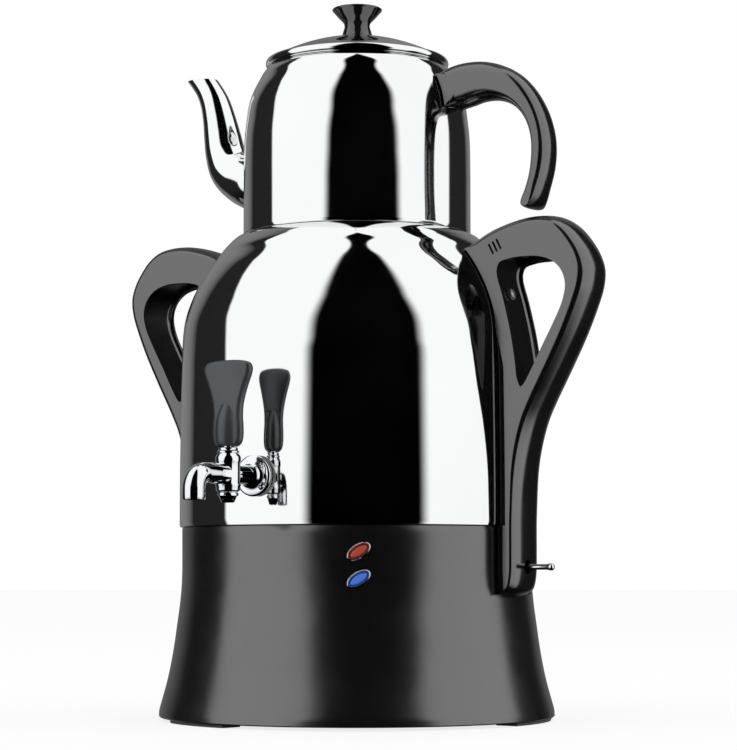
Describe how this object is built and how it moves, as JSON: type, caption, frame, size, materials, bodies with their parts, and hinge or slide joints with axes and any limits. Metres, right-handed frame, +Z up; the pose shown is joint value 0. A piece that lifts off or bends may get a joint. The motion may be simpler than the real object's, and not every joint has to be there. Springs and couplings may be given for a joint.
{
  "type": "samovar",
  "caption": "Electric samovar: steel kettle with side tap on a flared black base, loop handles, toggle switch, and a lidded teapot sitting in the kettle's mouth.",
  "frame": {"origin": "on the floor at the foot of the kettle's upright axis, 2 mm below the base plate's flat underside", "axes": "+Z up the kettle's axis; the tap points to -Y; the handle with the switch is at +X; the teapot's spout points to -X"},
  "size_m": [0.3476, 0.307, 0.4569],
  "materials": {
    "polished_steel": "mirror polished stainless steel",
    "chrome": "bright chrome plate",
    "zinc_steel": "zinc plated steel",
    "black_plastic": "satin black moulding",
    "black_rubber": "matt",
    "grey_silicone": "matt silicone",
    "red_lens": "clear tinted",
    "blue_lens": "clear tinted",
    "board_resin": "matt resin"
  },
  "bodies": {
    "root": {"base_shell": "black_plastic", "base_plate": "black_plastic", "base_screw_1": "zinc_steel", "base_screw_2": "zinc_steel", "base_screw_3": "zinc_steel", "rubber_foot_1": "black_rubber", "rubber_foot_2": "black_rubber", "rubber_foot_3": "black_rubber", "kettle_shell": "polished_steel", "kettle_bottom": "polished_steel", "pot_seat_ring": "grey_silicone", "element_seal_1": "grey_silicone", "element_seal_2": "grey_silicone", "heating_element": "zinc_steel", "keep_warm_heater": "zinc_steel", "boil_thermostat": "black_plastic", "boil_dry_cutout": "black_plastic", "terminal_block": "board_resin", "lamp_board": "board_resin", "power_inlet": "black_plastic", "red_lamp_bezel": "chrome", "red_lamp_lens": "red_lens", "blue_lamp_bezel": "chrome", "blue_lamp_lens": "blue_lens", "right_handle": "black_plastic", "left_handle": "black_plastic", "right_handle_upper_screw": "zinc_steel", "right_handle_lower_screw": "zinc_steel", "left_handle_upper_screw": "zinc_steel", "left_handle_lower_screw": "zinc_steel", "switch_body": "black_plastic", "tap_body": "chrome", "tap_washer": "grey_silicone", "tap_lock_nut": "chrome"},
    "tap_handle": {"tap_plug": "chrome", "tap_bottom_nut": "chrome", "tap_grip": "black_plastic"},
    "switch_toggle": {"switch_lever": "chrome"},
    "teapot": {"pot_body": "polished_steel", "pot_spout": "polished_steel", "pot_handle": "black_plastic", "pot_handle_screw": "zinc_steel"},
    "teapot_lid": {"pot_lid": "polished_steel", "lid_knob": "black_plastic", "lid_knob_screw": "zinc_steel"}
  },
  "joints": [
    {"name": "tap_turn", "type": "hinge", "parent": "root", "child": "tap_handle", "pos_m": [0, -0.1413, 0.15], "axis": [0, 0, 1], "range_deg": [0, 90]},
    {"name": "switch_tilt", "type": "hinge", "parent": "root", "child": "switch_toggle", "pos_m": [0.11555, 0, 0.0957], "axis": [0, 1, 0], "range_deg": [-12, 12]},
    {"name": "teapot_lift", "type": "slide", "parent": "root", "child": "teapot", "axis": [0, 0, 1], "range_m": [0, 0.15]},
    {"name": "lid_lift", "type": "slide", "parent": "teapot", "child": "teapot_lid", "axis": [0, 0, 1], "range_m": [0, 0.06]}
  ]
}
